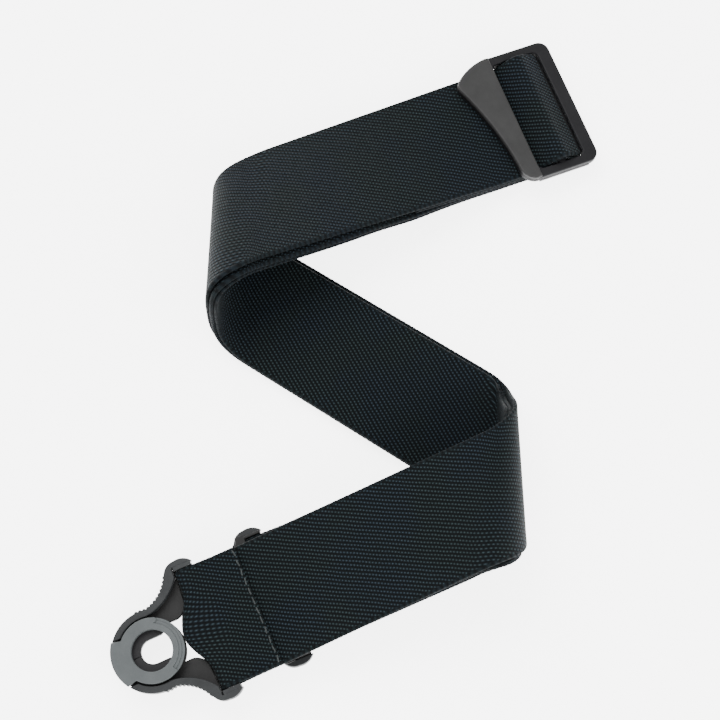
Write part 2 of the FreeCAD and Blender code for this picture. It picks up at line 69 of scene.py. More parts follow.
class Graph:
    """A material's node tree with short calls for the few node kinds used here."""

    def __init__(self, name):
        self.material = bpy.data.materials.new(name)
        self.material.use_nodes = True
        self.nodes = self.material.node_tree.nodes
        self.links = self.material.node_tree.links
        self.shader = self.nodes["Principled BSDF"]

    def feed(self, socket, value):
        if isinstance(value, bpy.types.NodeSocket):
            self.links.new(value, socket)
        else:
            socket.default_value = value

    def math(self, operation, a, b=0.0, clamp=False):
        node = self.nodes.new("ShaderNodeMath")
        node.operation = operation
        node.use_clamp = clamp
        self.feed(node.inputs[0], a)
        self.feed(node.inputs[1], b)
        return node.outputs[0]

    def coordinates(self, kind):
        if kind == "UV":
            node = self.nodes.new("ShaderNodeUVMap")
            node.uv_map = "strap"
            return node.outputs[0]
        return self.nodes.new("ShaderNodeTexCoord").outputs[kind]

    def noise(self, scale, detail=2.0, roughness=0.5, where="Object"):
        node = self.nodes.new("ShaderNodeTexNoise")
        self.feed(node.inputs["Vector"], self.coordinates(where))
        node.inputs["Scale"].default_value = scale
        node.inputs["Detail"].default_value = detail
        node.inputs["Roughness"].default_value = roughness
        return node.outputs["Fac"]

    def ramp(self, value, stops):
        """Maps a number through (place, colour) stops."""
        node = self.nodes.new("ShaderNodeValToRGB")
        self.feed(node.inputs[0], value)
        elements = node.color_ramp.elements
        while len(elements) < len(stops):
            elements.new(0.5)
        for element, (place, colour) in zip(elements, stops):
            element.position = place
            element.color = (*colour, 1.0)
        return node.outputs[0]

    def span(self, value, low, high, to_low, to_high):
        node = self.nodes.new("ShaderNodeMapRange")
        for i, v in enumerate((value, low, high, to_low, to_high)):
            self.feed(node.inputs[i], v)
        return node.outputs[0]

    def mix(self, share, a, b, mode="MIX"):
        node = self.nodes.new("ShaderNodeMix")
        node.data_type = "RGBA"
        node.blend_type = mode
        self.feed(node.inputs[0], share)
        for socket, value in ((node.inputs[6], a), (node.inputs[7], b)):
            self.feed(socket, (*value, 1.0) if isinstance(value, tuple) else value)
        return node.outputs[2]

    def bump(self, height, distance, strength=1.0, under=None):
        node = self.nodes.new("ShaderNodeBump")
        node.inputs["Strength"].default_value = strength
        node.inputs["Distance"].default_value = distance
        self.feed(node.inputs["Height"], height)
        if under is not None:
            self.links.new(under, node.inputs["Normal"])
        return node.outputs[0]

    def finish(self, colour, roughness, normal, **constants):
        self.feed(self.shader.inputs["Base Color"], colour)
        self.feed(self.shader.inputs["Roughness"], roughness)
        self.links.new(normal, self.shader.inputs["Normal"])
        for name, value in constants.items():
            self.shader.inputs[name.replace("_", " ")].default_value = value
        return self.material


# ---------------------------------------------------------------- materials

TWILL_ANGLE = 29.0                       # rows lean this far from the strap's length
ROW_PITCH = 1.55
DOT_PITCH = 1.32
SELVEDGE = 23.8                          # beyond this distance from the middle the weave is plain
SELVEDGE_PITCH = 2.3


def webbing_material():
    """Black polyester twill: slanting rows of short floats, with a corded selvedge; the colour follows the
    weave's relief, with painted shade in its hollows and painted highlights on the floats' crowns.
    """
    g = Graph("webbing_twill")
    split = g.nodes.new("ShaderNodeSeparateXYZ")
    g.feed(split.inputs[0], g.coordinates("UV"))
    waver = g.math("MULTIPLY", g.math("SUBTRACT", g.noise(90.0), 0.5), 0.5)
    u = g.math("MULTIPLY", split.outputs[0], 1 / MM)
    v = g.math("MULTIPLY", split.outputs[1], 1 / MM)
    lean = math.radians(TWILL_ANGLE)
    across = g.math("ADD", g.math("MULTIPLY", u, math.sin(lean)), g.math("MULTIPLY", v, math.cos(lean)))
    along = g.math("SUBTRACT", g.math("MULTIPLY", u, math.cos(lean)), g.math("MULTIPLY", v, math.sin(lean)))
    row = g.math("ADD", g.math("DIVIDE", across, ROW_PITCH), waver)
    step = g.math("MULTIPLY", g.math("FLOOR", row), 0.5)
    dot = g.math("ADD", g.math("ADD", g.math("DIVIDE", along, DOT_PITCH), step), waver)
    ridge = g.math("SINE", g.math("MULTIPLY", g.math("FRACT", row), math.pi))
    float_ = g.math("SINE", g.math("MULTIPLY", g.math("FRACT", dot), math.pi))
    raised = g.math("ADD", g.math("MULTIPLY", float_, 0.62), 0.38)
    body = g.math("MULTIPLY", g.math("POWER", ridge, 1.2), raised)
    # the selvedge: cords that turn round the edge
    edge = g.math("GREATER_THAN", g.math("ABSOLUTE", v), SELVEDGE)
    cord = g.math("ABSOLUTE", g.math("SINE", g.math("MULTIPLY", u, math.pi / SELVEDGE_PITCH)))
    rim = g.math("ADD", g.math("MULTIPLY", cord, 0.5), 0.15)
    inner = g.math("MULTIPLY", body, g.math("SUBTRACT", 1.0, edge))
    height = g.math("ADD", inner, g.math("MULTIPLY", rim, edge))
    fibre = g.noise(2600.0, 3.0, 0.7)
    # the weave's relief plus fibre noise: the ramp below turns the relief into painted shade in the hollows
    # between floats and painted highlights on their crowns, and the fibre noise into the cloth's own random
    # tone
    fibre_tone_and_relief_shade = g.math("ADD", height, g.math("MULTIPLY", g.math("SUBTRACT", fibre, 0.5), 0.55), clamp=True)
    relief_shaded_colour = g.ramp(fibre_tone_and_relief_shade, [
        (0.0, (0.0006, 0.0009, 0.0010)),
        (0.42, (0.0018, 0.0030, 0.0034)),
        (0.78, (0.0066, 0.0108, 0.0120)),
        (1.0, (0.0230, 0.0350, 0.0375)),
    ])
    navy = g.mix(1.0, relief_shaded_colour, (0.94, 0.95, 1.16), "MULTIPLY")
    patch = g.span(g.noise(38.0, 3.0, 0.6), 0.42, 0.62, 0.0, 1.0)
    colour = g.mix(patch, relief_shaded_colour, navy)
    fine = g.bump(fibre, 0.00006, 0.5)
    normal = g.bump(height, 0.00042, 0.9, fine)
    roughness = g.span(fibre, 0.0, 1.0, 0.62, 0.86)
    return g.finish(colour, roughness, normal, Sheen_Weight=0.02, Specular_IOR_Level=0.07)


def thread_material():
    """Grey spun sewing thread."""
    g = Graph("sewing_thread")
    twist = g.noise(1900.0, 2.0, 0.6)
    colour = g.ramp(twist, [(0.3, (0.010, 0.012, 0.013)), (0.7, (0.045, 0.052, 0.052))])
    return g.finish(colour, 0.7, g.bump(twist, 0.0001, 0.8), Sheen_Weight=0.05, Specular_IOR_Level=0.2)


def nylon_material(name, dark, light, gloss, grain, depth):
    """Moulded glass-filled nylon: a fine grain, cloudy flow marks and a few pale scuffs."""
    g = Graph(name)
    cloud = g.noise(120.0, 4.0, 0.6)
    speck = g.noise(grain, 3.0, 0.65)
    scuff = g.span(g.noise(700.0, 5.0, 0.8), 0.66, 0.74, 0.0, 0.22)
    tone = g.math("ADD", g.math("MULTIPLY", cloud, 0.7), g.math("MULTIPLY", speck, 0.3))
    colour = g.mix(scuff, g.ramp(tone, [(0.3, dark), (0.7, light)]), tuple(min(1.0, c * 1.8) for c in light))
    roughness = g.span(g.math("ADD", speck, scuff), 0.2, 1.0, gloss, gloss + 0.22)
    normal = g.bump(speck, depth, 0.5, g.bump(cloud, 0.00008, 0.3))
    return g.finish(colour, roughness, normal, Specular_IOR_Level=0.18)


def steel_material(name, tone):
    """Turned steel with fine marks."""
    g = Graph(name)
    marks = g.noise(1500.0, 4.0, 0.7)
    colour = g.ramp(marks, [(0.3, (tone * 0.8,) * 3), (0.7, (tone,) * 3)])
    roughness = g.span(marks, 0.0, 1.0, 0.22, 0.42)
    return g.finish(colour, roughness, g.bump(marks, 0.00003, 0.4), Metallic=1.0)


TABLE_GLOW = 4.5                         # lifts the table to near white


def floor_material():
    """A matte white table."""
    g = Graph("white_table")
    grain = g.noise(60.0, 3.0, 0.5)
    colour = g.ramp(grain, [(0.2, (0.91, 0.91, 0.91)), (0.8, (0.93, 0.93, 0.93))])
    return g.finish(
        colour, 0.85, g.bump(grain, 0.00002, 0.2), Specular_IOR_Level=0.1,
        Emission_Color=(1.0, 1.0, 1.0, 1.0), Emission_Strength=TABLE_GLOW,
    )


WEBBING = webbing_material()
THREAD = thread_material()
WIDE_BAR = nylon_material("slider_nylon", (0.018, 0.018, 0.018), (0.027, 0.027, 0.027), 0.42, 2600.0, 0.00005)
NARROW_BAR = nylon_material("rail_nylon", (0.003, 0.003, 0.004), (0.006, 0.006, 0.007), 0.46, 2600.0, 0.00006)
GREY = nylon_material("ring_nylon", (0.056, 0.062, 0.064), (0.078, 0.086, 0.088), 0.42, 2400.0, 0.00004)
GRIP = nylon_material("grip_nylon", (0.014, 0.015, 0.016), (0.024, 0.026, 0.027), 0.40, 2400.0, 0.00005)
BLACK = nylon_material("frame_nylon", (0.010, 0.010, 0.010), (0.018, 0.018, 0.018), 0.46, 2200.0, 0.00006)
JAW = nylon_material("jaw_nylon", (0.007, 0.007, 0.008), (0.013, 0.013, 0.014), 0.40, 2600.0, 0.00004)
STEEL = steel_material("turned_steel", 0.55)
SPRING = steel_material("spring_steel", 0.42)


# ---------------------------------------------------------------- strap layout, as in the design

WEB_WIDTH, WEB_THICK = 50.0, 1.7
LAYER = WEB_THICK + 0.06
STRAP_ANGLE = 27.5
HALF_RULING = WEB_WIDTH / 2 / math.cos(math.radians(STRAP_ANGLE))
LEFT = {"x": -49.4, "y": 53.9, "drop": 29.2, "depth": 14.6, "half": 17.0, "side": -1}
RIGHT = {"x": 56.2, "y": -31.2, "drop": 32.0, "depth": 10.1, "half": 18.0, "side": 1}
LEFT_FLARE, RIGHT_TAPER = -0.0120, -0.0125
EASE = {-1: 0.88, 1: 1.2}
LEAN = {-1: -0.06, 1: 0.0}
LEG_TILT = (14.0, 11.0)
BEND_STEPS, LOOP_STEPS = 20, 24
BAR_R, CLEAR, SLIDER_THICK = 2.0, 0.15, 3.5
WINDOW_U = (-10.6, 10.2)
WINDOW_P, RAIL_P, RAIL_BOTTOM = 25.6, 29.4, -3.2
WIDE_BAR_U = (-28.1, -18.6)
ENTRY_U = -30.0
SLACK = 0.5
LOCK_THICK, LOCK_PITCH, LOCK_STEP, LOCK_SHIFT = 7.6, 5.0, 29.6, 2.5
LOCK_PLACE = np.array([-71.2, -127.3, 0.0])
NOSE_R, BACK_R, BACK_STRAP_R, HOLE_R, RING_R, RING_WALL_R = 16.5, 15.9, 12.8, 8.2, 12.9, 11.8
GRIP_R = (13.6, 16.4)
CROSS_BAR = (22.5, 3.3)
CROSS_BAR_R = 1.7
LOCK_FLAP = 22.0


def polar(radius, angle):
    return radius * math.cos(math.radians(angle)), radius * math.sin(math.radians(angle))


def arc(centre, radius, start, end, steps=LOOP_STEPS):
    turns = [start + (end - start) * i / steps for i in range(steps + 1)]
    return [(centre[0] + polar(radius, t)[0], centre[1] + polar(radius, t)[1]) for t in turns]


def tangent(point, radius, side):
    """Angle at which a line from the point touches a circle about the origin."""
    return math.degrees(math.atan2(point[1], point[0]) + side * math.acos(radius / math.hypot(*point)))


class Place:
    """A local frame: u along the strap, p across it, w off the face."""

    def __init__(self, origin, pitch, face=1, plan_angle=STRAP_ANGLE):
        turn, tip = math.radians(plan_angle), math.radians(pitch)
        self.origin = np.array(origin, float)
        self.u = np.array([math.cos(turn) * math.cos(tip), math.sin(turn) * math.cos(tip), math.sin(tip)])
        self.level = np.array([-math.sin(turn), math.cos(turn), 0.0])
        self.w = np.cross(self.u, self.level) * face
        self.p = np.cross(self.w, self.u)

    def at(self, u, p, w):
        return self.origin + self.u * u + self.p * p + self.w * w

    def matrix(self):
        """Takes local millimetres to the scene's metres."""
        m = Matrix.Identity(4)
        for i, axis in enumerate((self.u, self.p, self.w)):
            for k in range(3):
                m[k][i] = axis[k] * MM
        for k in range(3):
            m[k][3] = (self.origin[k] + CENTRING[k]) * MM
        return m

    def cross_rulings(self, path):
        half = self.level * (WEB_WIDTH / 2)
        return [np.array([self.at(u, 0, w) - half, self.at(u, 0, w) + half]) for u, w in path]


def fold_ruling(fold, angle, upper, share):
    centre = fold["y"] - fold["drop"] * share ** EASE[fold["side"]]
    middle = fold["y"] - fold["drop"] / 2
    ends = []
    for side in (-1, 1):
        y = centre + side * HALF_RULING
        depth, half = fold["depth"], fold["half"]
        if fold is LEFT:
            half *= 1 + LEFT_FLARE * (y - middle)
        else:
            depth *= 1 + RIGHT_TAPER * (y - middle)
        corner = min(depth, half)
        corner_z = WEB_THICK / 2 + (2 * half - corner if upper else corner)
        turn = math.radians(angle)
        x = fold["x"] + depth * math.cos(turn) + LEAN[fold["side"]] * (y - middle)
        ends.append([x, y, corner_z + corner * math.sin(turn)])
    return np.array(ends)


def fold_rulings(fold, start, end):
    flat = 180.0 if fold["side"] < 0 else 0.0
    corner = min(fold["depth"], fold["half"])
    lengths = [abs(flat - start), 2 * (fold["half"] - corner) / corner * 180 / math.pi]
    total = sum(lengths) + abs(end - flat)
    found = []
    for i in range(BEND_STEPS + 1):
        angle = start + (flat - start) * i / BEND_STEPS
        found.append(fold_ruling(fold, angle, start > -90, abs(angle - start) / total))
    for i in range(BEND_STEPS + 1):
        angle = flat + (end - flat) * i / BEND_STEPS
        found.append(fold_ruling(fold, angle, start < 0, (sum(lengths) + abs(angle - flat)) / total))
    return found


def leg(a, b, steps=12):
    return [a + (b - a) * i / steps for i in range(1, steps)]


def normals(rulings):
    """Surface normals at both ends of every ruling, towards the inside of the folds."""
    rails = np.array(rulings)
    ahead = np.concatenate([rails[1:], rails[-1:]])
    behind = np.concatenate([rails[:1], rails[:-1]])
    along = ahead - behind
    across = (rails[:, 1] - rails[:, 0])[:, None, :]
    n = -np.cross(np.broadcast_to(across, along.shape), along)
    return n / np.linalg.norm(n, axis=2, keepdims=True)


def offset(rulings, depth):
    return list(np.array(rulings) + normals(rulings) * depth)


left_fold = fold_rulings(LEFT, 90 - LEG_TILT[0], 270)
right_fold = fold_rulings(RIGHT, -90, 90 + LEG_TILT[1])
SLIDER = Place((67.5, 112.8, 9.6), -6.0, plan_angle=26.2)
lock_a_z = LOCK_THICK + 0.3 - (LOCK_STEP - NOSE_R) * math.sin(math.radians(LOCK_PITCH))
LOCK_A = Place(LOCK_PLACE + (0, 0, lock_a_z), LOCK_PITCH)
back = np.array([math.cos(math.radians(STRAP_ANGLE)), math.sin(math.radians(STRAP_ANGLE)), 0.0])
LOCK_B = Place(
    LOCK_PLACE + (0, 0, LOCK_THICK) + back * LOCK_STEP + LOCK_A.level * LOCK_SHIFT, 0, face=-1
)
CROSS_A = Place(LOCK_A.at(CROSS_BAR[0], 0, CROSS_BAR[1]), LOCK_PITCH)
BAR_B = Place(LOCK_B.at(CROSS_BAR[0], 0, CROSS_BAR[1]), 0)

level_top = -(SLIDER_THICK / 2 + 0.3 + WEB_THICK / 2)
level_flap, level_upper, level_lower = (level_top - LAYER * i for i in (1, 2, 3))
fold_r = BAR_R + CLEAR + WEB_THICK / 2
over_r = fold_r + LAYER
loop_r = CROSS_BAR_R + CLEAR + WEB_THICK / 2


# ---------------------------------------------------------------- webbing pieces

STEP = 0.8                               # spacing of the mesh along the strap
UNDERLAP = 2.6                           # the inner layers lie this far towards -Y of the top one
EDGE_ROUND = 0.9                         # the selvedge's rounding
SCALLOP = 0.16                           # how far each cord of the selvedge stands out


def resample(rulings, soft):
    """Rulings at an even spacing, with the joins between legs and folds eased.

    soft is the pair of shares of the run's length between which it may be eased.
    """
    rails = np.array(rulings)
    middle = rails.mean(axis=1)
    gaps = np.linalg.norm(np.diff(middle, axis=0), axis=1)
    at = np.concatenate([[0.0], np.cumsum(gaps)])
    count = int(at[-1] / STEP)
    even = np.linspace(0.0, at[-1], count + 1)
    dense = np.stack(
        [np.interp(even, at, rails[:, i, k]) for i in (0, 1) for k in range(3)], axis=1
    ).reshape(-1, 2, 3)
    reach = 9
    kernel = np.hanning(2 * reach + 3)[1:-1]
    kernel /= kernel.sum()
    padded = np.concatenate([dense[:1]] * reach + [dense] + [dense[-1:]] * reach)
    eased = sum(k * padded[i:i + len(dense)] for i, k in enumerate(kernel))
    share = even / at[-1]
    ramp = np.clip(np.minimum(share - soft[0], soft[1] - share) / 0.03, 0, 1)[:, None, None]
    return dense * (1 - ramp) + eased * ramp, even


def section():
    """(across, off the face, face) round the webbing: flat faces and rounded selvedges."""
    half, t = WEB_WIDTH / 2, WEB_THICK / 2
    flat = half - EDGE_ROUND
    across = np.linspace(-flat, flat, 21)
    ring = [(v, t * (1.0 - 0.06 * (abs(v) < 22)), 1) for v in across]
    ring += [(flat + EDGE_ROUND * math.cos(a), t * math.sin(a), 1) for a in np.linspace(1.35, 0.0, 5)]
    ring += [(flat + EDGE_ROUND * math.cos(a), t * math.sin(a), -1) for a in np.linspace(-0.3, -1.35, 4)]
    ring += [(v, -t * (1.0 - 0.06 * (abs(v) < 22)), -1) for v in across[::-1]]
    ring += [(-flat - EDGE_ROUND * math.cos(a), t * math.sin(a), -1) for a in np.linspace(-1.35, -0.3, 4)]
    ring += [(-flat - EDGE_ROUND * math.cos(a), t * math.sin(a), 1) for a in np.linspace(0.0, 1.35, 5)]
    return ring


def webbing(name, rulings, soft, edge_phase):
    """A run of webbing as a closed strip, with its length and width as the weave's coordinates.

    slant is how far a ruling runs along the strap, so the weave isn't sheared where rulings slant.
    """
    rails, along = resample(rulings, soft)
    # normals() points to the inside of the folds, so +t is the outer face
    inward = normals(list(rails))
    middle = rails.mean(axis=1)
    ahead = np.gradient(middle, axis=0)
    ahead /= np.linalg.norm(ahead, axis=1, keepdims=True)
    low, high = rails[:, 0], rails[:, 1]
    slant = ((high - low) * ahead).sum(axis=1)
    ring = section()
    half = WEB_WIDTH / 2
    verts, uvs = [], []
    for i in range(len(rails)):
        scallop = SCALLOP * abs(math.sin(math.pi * along[i] / SELVEDGE_PITCH + edge_phase))
        for v, t, face in ring:
            reach = v + math.copysign(scallop, v) if abs(v) > half - EDGE_ROUND else v
            share = (reach + half) / WEB_WIDTH
            point = low[i] + (high[i] - low[i]) * share
            n = inward[i, 0] * (1 - share) + inward[i, 1] * share
            verts.append((point - n * t + CENTRING) * MM)
            flat_u = along[i] + (share - 0.5) * slant[i]
            uvs.append((flat_u * MM, -v * face * MM))
    count = len(ring)
    faces = []
    for i in range(len(rails) - 1):
        for k in range(count):
            j = (k + 1) % count
            faces.append((i * count + k, i * count + j, (i + 1) * count + j, (i + 1) * count + k))
    faces.append(tuple(range(count))[::-1])
    faces.append(tuple((len(rails) - 1) * count + k for k in range(count)))
    mesh = bpy.data.meshes.new(name)
    mesh.from_pydata(verts, [], faces)
    layer = mesh.uv_layers.new(name="strap")
    index = np.empty(len(mesh.loops), np.int32)
    mesh.loops.foreach_get("vertex_index", index)
    layer.data.foreach_set("uv", np.array(uvs, np.float32)[index].ravel())
    mesh.shade_smooth()
    mesh.update()
    piece = bpy.data.objects.new(name, mesh)
    bpy.context.scene.collection.objects.link(piece)
    mesh.materials.append(WEBBING)
    length = float(along[-1]) * MM
    return piece, length


def slid(rulings, amounts):
    """The rulings moved along Y by the given amounts."""
    return [r + np.array([0.0, -a, 0.0]) for r, a in zip(rulings, amounts)]


rise = (WINDOW_U[0] + 0.6, level_top)
turn_centre = (4.6, level_lower + 2.6)
weave = arc(turn_centre, 2.6, -90, 5) + [(8.55, -0.2), (8.1, 0.9)]
weave += arc((0, 0), over_r, 62, tangent(rise, over_r, -1) + 360) + [rise, (ENTRY_U, level_top)]
top_slider = SLIDER.cross_rulings(weave)
close = (12.0, LAYER / 2)
touch = tangent(close, loop_r, 1)
loop_a = [(LOCK_FLAP, -close[1]), (close[0], -close[1])]
loop_a += arc((0, 0), loop_r, 360 - touch, touch) + [close, (LOCK_FLAP, close[1])]
top_lock = CROSS_A.cross_rulings(loop_a)
top_leg = leg(top_slider[-1], left_fold[0])
middle_leg = leg(left_fold[-1], right_fold[0], 24)
bottom_leg = leg(right_fold[-1], top_lock[0])
top_z = top_leg + left_fold + middle_leg + right_fold
around = [top_slider[-1]] + top_z + [bottom_leg[0]]
flapped_to = 4                           # rulings of the top leg over the sewn flap


def layers_in(flap_depth, depth):
    """Rulings under the top layer, slid towards -Y where the leg leaves the slider."""
    flapped, plain = offset(around, flap_depth), offset(around, depth)
    rulings = flapped[1:flapped_to + 1] + plain[flapped_to + 2:-1]
    count = len(rulings)
    ease = [min(1.0, i / 6.0, (count - 1 - i) / 8.0) for i in range(count)]
    return slid(rulings, [UNDERLAP * e * e * (3 - 2 * e) for e in ease])


lower = SLIDER.cross_rulings([(turn_centre[0] - 0.3, level_lower), (ENTRY_U, level_lower)])
lower += layers_in(3 * LAYER, 2 * LAYER)
shut = (14.0, LAYER / 2 + SLACK / 3)
loop_touch = tangent(shut, loop_r, 1)
lower_end = BAR_B.cross_rulings([(shut[0], -shut[1])] + arc((0, 0), loop_r, 360 - loop_touch, 184))
wrap_in, wrap_out = (WINDOW_U[0] + 2.6, level_upper), (WINDOW_U[0] + 1.2, level_flap)
wrap_from, wrap_to = tangent(wrap_in, fold_r, 1), tangent(wrap_out, fold_r, -1) + 360
sewn = [(ENTRY_U, level_flap), wrap_out] + arc((0, 0), fold_r, wrap_to, wrap_from)
sewn += [wrap_in, (ENTRY_U, level_upper)]
flap_end = offset(around, LAYER)[1:flapped_to + 1]
upper = flap_end[::-1] + SLIDER.cross_rulings(sewn) + layers_in(2 * LAYER, LAYER)
upper_end = BAR_B.cross_rulings([shut] + arc((0, 0), loop_r, loop_touch, 176))
upper_leg = [upper[-1]] + leg(upper[-1], upper_end[0]) + [upper_end[0]]
lower_leg = offset(upper_leg, LAYER + SLACK)[1:-1]


BOW_DEPTH, BOW_REACH = 6.1, 17.5         # how far the loop bows, and over what half width
BOW_FROM = 8.0                           # along the strap from the bar, where the bow begins


def bow_loop(mesh):
    """Lets the middle of the loop round lock A's bar stand off it, towards the ring."""
    back_to_local = CROSS_A.matrix().inverted()
    to_scene = CROSS_A.matrix()
    for vertex in mesh.vertices:
        u, p, w = back_to_local @ vertex.co
        if not -12 < u < BOW_FROM or abs(w) > 8 or abs(p) > BOW_REACH:
            continue
        share = min(1.0, (BOW_FROM - u) / 9) * min(1.0, max(0.0, (w + 1.2) / 1.8))
        share = share * share * (3 - 2 * share)
        bulge = BOW_DEPTH * share * (0.5 + 0.5 * math.cos(math.pi * p / BOW_REACH))
        vertex.co = to_scene @ Vector((u - bulge, p, w))


for name, rulings, soft, phase in (
    ("strap_run", top_slider + top_z + bottom_leg + top_lock, (0.10, 0.86), 0.0),
    ("loop_upper_run", upper + upper_leg[1:-1] + upper_end, (0.17, 0.97), 1.1),
    ("loop_lower_run", lower + lower_leg + lower_end, (0.03, 0.96), 0.6),
):
    piece, length = webbing("webbing_" + name, rulings, soft, phase)
    if name == "strap_run":
        bow_loop(piece.data)
    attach(piece, "webbing")
    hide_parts(name)


# ---------------------------------------------------------------- moulded pieces

def arc_through(start, middle, end, steps=16):
    """Points of the arc from start to end through middle."""
    (ax, ay), (bx, by), (cx, cy) = start, middle, end
    d = 2 * (ax * (by - cy) + bx * (cy - ay) + cx * (ay - by))
    sa, sb, sc = ax * ax + ay * ay, bx * bx + by * by, cx * cx + cy * cy
    x = (sa * (by - cy) + sb * (cy - ay) + sc * (ay - by)) / d
    y = (sa * (cx - bx) + sb * (ax - cx) + sc * (bx - ax)) / d
    radius = math.hypot(ax - x, ay - y)
    first, mid, last = (math.degrees(math.atan2(q - y, p - x)) for p, q in (start, middle, end))
    turn = (last - first) % 360
    if (mid - first) % 360 > turn:
        turn -= 360
    return arc((x, y), radius, first, first + turn, steps)


def outline(start, *moves):
    """Points of a closed outline: each move is a line's end, or an arc's middle and end."""
    points = [start]
    for move in moves:
        if isinstance(move[0], tuple):
            points += arc_through(points[-1], *move)[1:]
        else:
            points.append(move)
    if math.dist(points[0], points[-1]) < 1e-6:
        points.pop()
    return points


def circle(centre, radius, steps=72):
    return arc(centre, radius, 0, 360, steps)[:-1]


def sector(inner, outer, start, end, steps=32):
    return arc((0, 0), outer, start, end, steps) + arc((0, 0), inner, end, start, steps)


def mirrored(points, side):
    return points if side > 0 else [(x, -y) for x, y in points[::-1]]


def curve_mesh(data):
    """The mesh that a curve makes, without keeping the curve."""
    holder = bpy.data.objects.new("holder", data)
    bpy.context.scene.collection.objects.link(holder)
    graph = bpy.context.evaluated_depsgraph_get()
    mesh = bpy.data.meshes.new_from_object(holder.evaluated_get(graph))
    bpy.data.objects.remove(holder)
    bpy.data.curves.remove(data)
    return mesh


def plate(loops, bottom, top, bevel, rounds=3):
    """A flat piece with rounded edges, in local millimetres: an outline and its holes."""
    data = bpy.data.curves.new("plate", "CURVE")
    data.dimensions = "2D"
    data.fill_mode = "BOTH"
    data.extrude = (top - bottom) / 2 - bevel
    data.bevel_depth = bevel
    data.bevel_resolution = rounds
    data.offset = -bevel
    for loop in loops:
        spline = data.splines.new("POLY")
        spline.points.add(len(loop) - 1)
        for point, (x, y) in zip(spline.points, loop):
            point.co = (x, y, 0, 1)
        spline.use_cyclic_u = True
    mesh = curve_mesh(data)
    mesh.transform(Matrix.Translation((0, 0, (top + bottom) / 2)))
    return mesh


def rod(points, radius, rounds=4):
    """A round bar or thread through the points, in local millimetres."""
    data = bpy.data.curves.new("rod", "CURVE")
    data.dimensions = "3D"
    data.bevel_depth = radius
    data.bevel_resolution = rounds
    data.use_fill_caps = True
    spline = data.splines.new("POLY")
    spline.points.add(len(points) - 1)
    for point, co in zip(spline.points, points):
        point.co = (*co, 1)
    return curve_mesh(data)


def moulding(name, groups, place, body, node):
    """Joins local meshes, grouped by material, into one piece that stands for a CAD node."""
    verts, faces, owners = [], [], []
    joined = bpy.data.meshes.new(name)
    for material, meshes in groups:
        joined.materials.append(material)
        for mesh in meshes:
            base = len(verts)
            verts += [tuple(v.co) for v in mesh.vertices]
            faces += [tuple(base + i for i in p.vertices) for p in mesh.polygons]
            owners += [len(joined.materials) - 1] * len(mesh.polygons)
            bpy.data.meshes.remove(mesh)
    joined.from_pydata(verts, [], faces)
    joined.polygons.foreach_set("material_index", owners)
    joined.transform(place.matrix())
    joined.shade_smooth()
    joined.set_sharp_from_angle(angle=math.radians(50))
    piece = bpy.data.objects.new(name, joined)
    bpy.context.scene.collection.objects.link(piece)
    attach(piece, body)
    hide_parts(node)
    return piece


# ---------------------------------------------------------------- slider

def build_slider():
    """Tri-glide: a teardrop wide bar, slim rails, a straight narrow bar and the middle bar."""
    edge, side = 16.0, RAIL_P - 4.5
    broad, slim = WIDE_BAR_U
    wide_edge = outline(
        (-9.0, RAIL_P), ((-20.2, 27.4), (-27.2, 23.0)), ((broad - 0.4, 20.5), (broad, 18.0)),
        ((-21.6, -2.8), (slim, -23.0)), ((-16.8, -27.4), (-13.0, -RAIL_P)),
    )
    outer = wide_edge + [(edge - 4.5, -RAIL_P)]
    outer += arc((edge - 4.5, -side), 4.5, -90, 0, 10)[1:]
    outer += arc((edge - 4.5, side), 4.5, 0, 90, 10)
    u0, u1, p1, r = *WINDOW_U, WINDOW_P, 2.4
    window = arc((u1 - r, p1 - r), r, 0, 90, 6) + arc((u0 + r, p1 - r), r, 90, 180, 6)
    window += arc((u0 + r, -p1 + r), r, 180, 270, 6) + arc((u1 - r, -p1 + r), r, 270, 360, 6)
    half = SLIDER_THICK / 2
    body = [plate([outer, window], -half, half, 0.6, 4)]
    inner_edge = u0 - 0.4
    raised = [point for point in wide_edge if point[0] < inner_edge - 1.0]
    raised += [(inner_edge, -RAIL_P + 0.3), (inner_edge, RAIL_P - 0.3)]
    crown = plate([raised], -0.4, 2.9, 0.7, 6)
    for low in (p1, -RAIL_P):
        corners = [(-edge + 4.5, low), (edge - 4.5, low), (edge - 4.5, low + RAIL_P - p1)]
        body.append(plate([corners + [(-edge + 4.5, low + RAIL_P - p1)]], RAIL_BOTTOM, 0.4, 0.5, 4))
    lip = [(9.7, -p1), (10.7, -p1), (10.7, p1), (9.7, p1)]
    body.append(plate([lip], -half, -0.95, 0.2))
    body.append(rod([(0, -p1 - 0.4, 0), (0, p1 + 0.4, 0)], BAR_R, 8))
    groups = [(WIDE_BAR, [crown]), (NARROW_BAR, body)]
    moulding("slider_body", groups, SLIDER, "slider", "slider_frame")


# ---------------------------------------------------------------- button locks

TERRACES = ((10.3, 11.7, 7.05), (11.5, RING_R, 6.5))
TERRACE_ENDS = (-60, 64)
TAB_ENDS = (146, 137.5)                  # degrees where the tab ends, at the nose and at the ring
RIB_PITCH = 1.7


def ribbed(points, height):
    """Adds a row of grip ribs to a stretch of outline, standing off its outer side."""
    start, result = 0.0, []
    for i, (x, y) in enumerate(points):
        if i:
            start += math.dist(points[i - 1], points[i])
        a, b = points[max(i - 1, 0)], points[min(i + 1, len(points) - 1)]
        length = math.dist(a, b)
        wave = abs(math.sin(math.pi * start / RIB_PITCH)) * height
        result.append((x - (b[1] - a[1]) / length * wave, y + (b[0] - a[0]) / length * wave))
    return result


